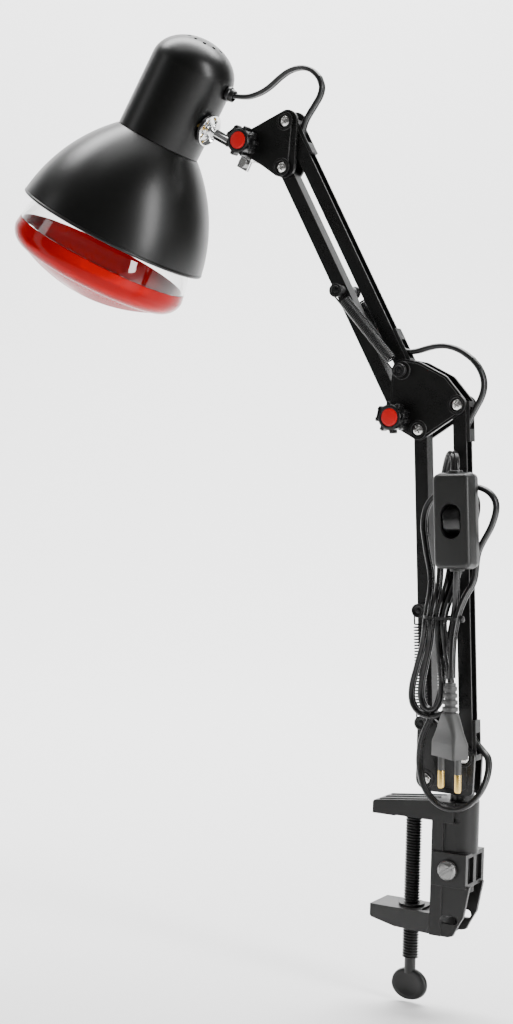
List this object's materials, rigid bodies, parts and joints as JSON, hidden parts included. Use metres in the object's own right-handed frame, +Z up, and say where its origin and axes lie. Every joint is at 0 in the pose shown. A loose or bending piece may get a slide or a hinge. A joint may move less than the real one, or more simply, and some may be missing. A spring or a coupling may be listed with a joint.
{
  "type": "infrared heat therapy lamp",
  "caption": "Infrared heat lamp with a bell shade on a spring balanced double arm, with tilt knobs, an inline rocker switch, mains plug and table clamp",
  "frame": {"origin": "on the flat pad of the upper clamp jaw's underside, where it rests on the table top, in the middle plane of the arm", "axes": "+Z is up, the lamp head reaches out towards -X, and all arm pivots lie along Y"},
  "size_m": [0.3472, 0.1289, 0.6005],
  "materials": {
    "clamp_plastic": "satin black moulded plastic",
    "jaw_plastic": "satin black moulded plastic",
    "screw_plastic": "satin black moulded plastic",
    "set_screw_steel": "dull grey steel",
    "black_paint": "satin black powder coat",
    "shade_paint": "satin black paint",
    "steel": "bright zinc plated",
    "black_steel": "black oxide",
    "spring_steel": "black coated spring wire",
    "knob_plastic": "satin black moulded plastic",
    "red_plastic": "glossy red",
    "chrome": "polished chrome",
    "brass": "plain brass",
    "clear_glass": "clear glass",
    "red_glass": "red glass with a stippled face",
    "ceramic": "off-white glazed ceramic",
    "cap_alloy": "plain screw shell",
    "filament_wire": "dull wire and glass stem",
    "cord_pvc": "satin black flexible sheath",
    "clip_plastic": "satin black moulded plastic",
    "switch_plastic": "satin black moulded plastic",
    "rocker_plastic": "glossy black",
    "plug_plastic": "satin dark grey flexible plastic"
  },
  "bodies": {
    "clamp": {"clamp_body": "clamp_plastic"},
    "set_screw": {"locking_screw": "set_screw_steel"},
    "thumb_screw": {"clamp_screw": "screw_plastic"},
    "jaw": {"lower_jaw": "jaw_plastic"},
    "base": {"base_bracket": "black_paint", "swivel_pin": "steel", "swivel_collar": "clip_plastic", "base_bolts": "steel", "base_spools": "black_steel", "lower_springs": "spring_steel"},
    "front_lower_arm": {"lower_tube": "black_paint", "lower_spring_bolt": "black_steel"},
    "rear_lower_arm": {"lower_channel": "black_paint", "lower_cord_run": "cord_pvc", "lower_clips": "clip_plastic", "elbow_cord_lower": "cord_pvc", "lead_cord": "cord_pvc", "cord_hank": "cord_pvc", "hank_tie": "clip_plastic", "switch_body": "switch_plastic", "mains_plug": "plug_plastic", "plug_pins": "brass"},
    "rocker": {"switch_rocker": "rocker_plastic"},
    "elbow": {"elbow_front_plate": "black_paint", "elbow_rear_plate": "black_paint", "elbow_bolts": "steel", "elbow_spools": "black_steel", "upper_springs": "spring_steel"},
    "elbow_knob_body": {"elbow_knob": "knob_plastic", "elbow_knob_cap": "red_plastic"},
    "front_upper_arm": {"upper_tube": "black_paint", "upper_spring_bolt": "black_steel"},
    "rear_upper_arm": {"upper_channel": "black_paint", "upper_cord_run": "cord_pvc", "upper_clips": "clip_plastic", "elbow_cord_upper": "cord_pvc", "head_cord_rear": "cord_pvc"},
    "head_bracket": {"bracket_front_plate": "black_paint", "bracket_rear_plate": "black_paint", "bracket_bolts": "steel", "head_cord_middle": "cord_pvc"},
    "head_knob_body": {"head_knob": "knob_plastic", "head_knob_cap": "red_plastic"},
    "rod_holder": {"rod_clamp": "chrome", "rod_clamp_bolt": "steel"},
    "head": {"rod": "chrome", "rosette": "chrome", "rosette_screws": "brass", "neck": "shade_paint", "shade": "shade_paint", "rim_bead": "shade_paint", "grommet": "clip_plastic", "lamp_holder": "ceramic", "holder_stem": "steel", "bulb_glass": "clear_glass", "bulb_front": "red_glass", "bulb_cap": "cap_alloy", "filament": "filament_wire", "head_cord_front": "cord_pvc"}
  },
  "joints": [
    {"name": "base_swivel", "type": "hinge", "parent": "clamp", "child": "base", "pos_m": [0.044, 0, 0], "axis": [0, 0, 1], "range_deg": [-20, 170]},
    {"name": "lower_arm_swing", "type": "hinge", "parent": "base", "child": "rear_lower_arm", "pos_m": [0.04749, 0, 0.03949], "axis": [0, 1, 0], "range_deg": [-60, 35]},
    {"name": "front_lower_swing", "type": "hinge", "parent": "base", "child": "front_lower_arm", "pos_m": [0.0225, 0, 0.024], "axis": [0, 1, 0], "range_deg": [-60, 35], "deforming": ["lower_springs"]},
    {"name": "elbow_level", "type": "hinge", "parent": "rear_lower_arm", "child": "elbow", "pos_m": [0.0361, 0, 0.24968], "axis": [0, 1, 0], "range_deg": [-35, 60], "deforming": ["elbow_cord_lower"]},
    {"name": "upper_arm_swing", "type": "hinge", "parent": "elbow", "child": "rear_upper_arm", "pos_m": [-0.00069, 0, 0.26975], "axis": [0, 1, 0], "range_deg": [-75, 12], "deforming": ["elbow_cord_upper"]},
    {"name": "front_upper_swing", "type": "hinge", "parent": "elbow", "child": "front_upper_arm", "pos_m": [-0.00218, 0, 0.24129], "axis": [0, 1, 0], "range_deg": [-75, 12], "deforming": ["upper_springs"]},
    {"name": "head_level", "type": "hinge", "parent": "rear_upper_arm", "child": "head_bracket", "pos_m": [-0.08663, 0, 0.42415], "axis": [0, 1, 0], "range_deg": [-12, 75], "deforming": ["head_cord_rear"]},
    {"name": "head_tilt", "type": "hinge", "parent": "head_bracket", "child": "rod_holder", "pos_m": [-0.11302, 0, 0.41209], "axis": [0, 1, 0], "range_deg": [-40, 60], "deforming": ["head_cord_middle"]},
    {"name": "head_roll", "type": "hinge", "parent": "rod_holder", "child": "head", "pos_m": [-0.11579, 0, 0.40676], "axis": [0.887, 0, -0.4617], "range_deg": [-80, 80], "deforming": ["head_cord_front"]},
    {"name": "elbow_knob_turn", "type": "hinge", "parent": "elbow", "child": "elbow_knob_body", "pos_m": [-0.00218, 0, 0.24129], "axis": [0, 1, 0], "range_deg": [-180, 180]},
    {"name": "head_knob_turn", "type": "hinge", "parent": "head_bracket", "child": "head_knob_body", "pos_m": [-0.11302, 0, 0.41209], "axis": [0, 1, 0], "range_deg": [-180, 180]},
    {"name": "set_screw_turn", "type": "hinge", "parent": "clamp", "child": "set_screw", "pos_m": [0.0421, 0, -0.02775], "axis": [0, 1, 0], "range_deg": [-180, 180]},
    {"name": "thumb_screw_turn", "type": "hinge", "parent": "clamp", "child": "thumb_screw", "pos_m": [0.0125, 0, 0], "axis": [0, 0, -1], "range_deg": [0, 7560]},
    {"name": "jaw_slide", "type": "slide", "parent": "clamp", "child": "jaw", "axis": [0, 0, 1], "range_m": [0, 0.03675]},
    {"name": "rocker_tilt", "type": "hinge", "parent": "rear_lower_arm", "child": "rocker", "pos_m": [0.0452, -0.0296, 0.1816], "axis": [0.9985, 0, 0.0541], "range_deg": [-12, 0]}
  ],
  "couplings": [
    {"joint": "front_lower_swing", "follows": "lower_arm_swing", "ratio": 1},
    {"joint": "elbow_level", "follows": "lower_arm_swing", "ratio": -1},
    {"joint": "front_upper_swing", "follows": "upper_arm_swing", "ratio": 1},
    {"joint": "head_level", "follows": "upper_arm_swing", "ratio": -1},
    {"joint": "thumb_screw_turn", "follows": "jaw_slide", "rad_per_m": 3590.4}
  ]
}
